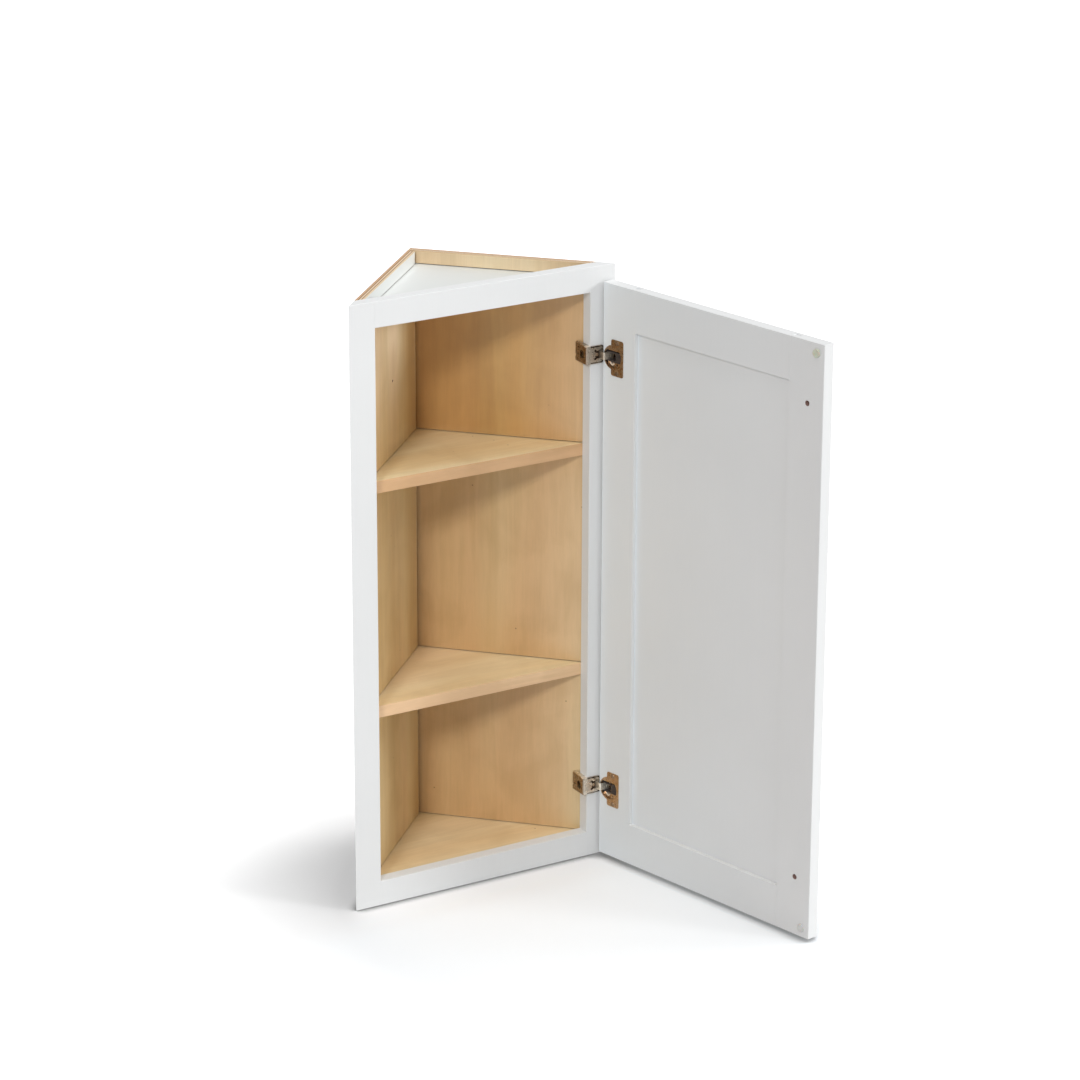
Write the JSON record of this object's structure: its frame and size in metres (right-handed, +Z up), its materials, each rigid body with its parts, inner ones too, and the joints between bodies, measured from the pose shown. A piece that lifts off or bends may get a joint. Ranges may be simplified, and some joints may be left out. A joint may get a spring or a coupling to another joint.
{
  "type": "corner wall cabinet",
  "caption": "Triangular corner wall cabinet with a diagonal face frame, a frame-and-panel door on cup hinges, a recessed top and fixed shelves.",
  "frame": {"origin": "On the outer face of the right side, halfway up and halfway along it, where that side is fixed to a wall.", "axes": "+X runs right along the diagonal front as seen from the room, +Y points from the front into the corner of the room, +Z is up. The two sides stand at 45 degrees to X and Y."},
  "size_m": [0.5256, 0.6331, 0.9144],
  "materials": {
    "maple_board": "clear-coated maple veneer on plywood",
    "white_paint": "smooth white satin paint on hardwood",
    "hinge_steel": "pressed steel with a warm, dark nickel plate",
    "bright_steel": "bright nickel plate",
    "dark_plastic": "moulded, dark grey-brown",
    "soft_pad": "translucent soft bumper"
  },
  "bodies": {
    "cabinet": {"right_side": "maple_board", "left_side": "maple_board", "top_board": "maple_board", "upper_shelf": "maple_board", "lower_shelf": "maple_board", "floor_board": "maple_board", "frame_left_stile": "white_paint", "frame_right_stile": "white_paint", "frame_top_rail": "white_paint", "frame_bottom_rail": "white_paint", "upper_wing": "hinge_steel", "upper_arm": "bright_steel", "upper_mount_screw": "bright_steel", "upper_adjust_screw": "bright_steel", "lower_wing": "hinge_steel", "lower_arm": "bright_steel", "lower_mount_screw": "bright_steel", "lower_adjust_screw": "bright_steel"},
    "door": {"door_hinge_stile": "white_paint", "door_free_stile": "white_paint", "door_top_rail": "white_paint", "door_bottom_rail": "white_paint", "door_panel": "white_paint", "upper_bumper_pad": "soft_pad", "lower_bumper_pad": "soft_pad", "upper_cup": "hinge_steel", "upper_damper": "dark_plastic", "upper_pivot_pin": "bright_steel", "upper_closing_spring": "bright_steel", "upper_cup_screw_top": "bright_steel", "upper_cup_screw_bottom": "bright_steel", "lower_cup": "hinge_steel", "lower_damper": "dark_plastic", "lower_pivot_pin": "bright_steel", "lower_closing_spring": "bright_steel", "lower_cup_screw_top": "bright_steel", "lower_cup_screw_bottom": "bright_steel"}
  },
  "joints": [
    {"name": "door_hinge", "type": "hinge", "parent": "cabinet", "child": "door", "pos_m": [0.09556, -0.11966, 0], "axis": [0, 0, 1], "range_deg": [-103.5, 3.5]}
  ]
}
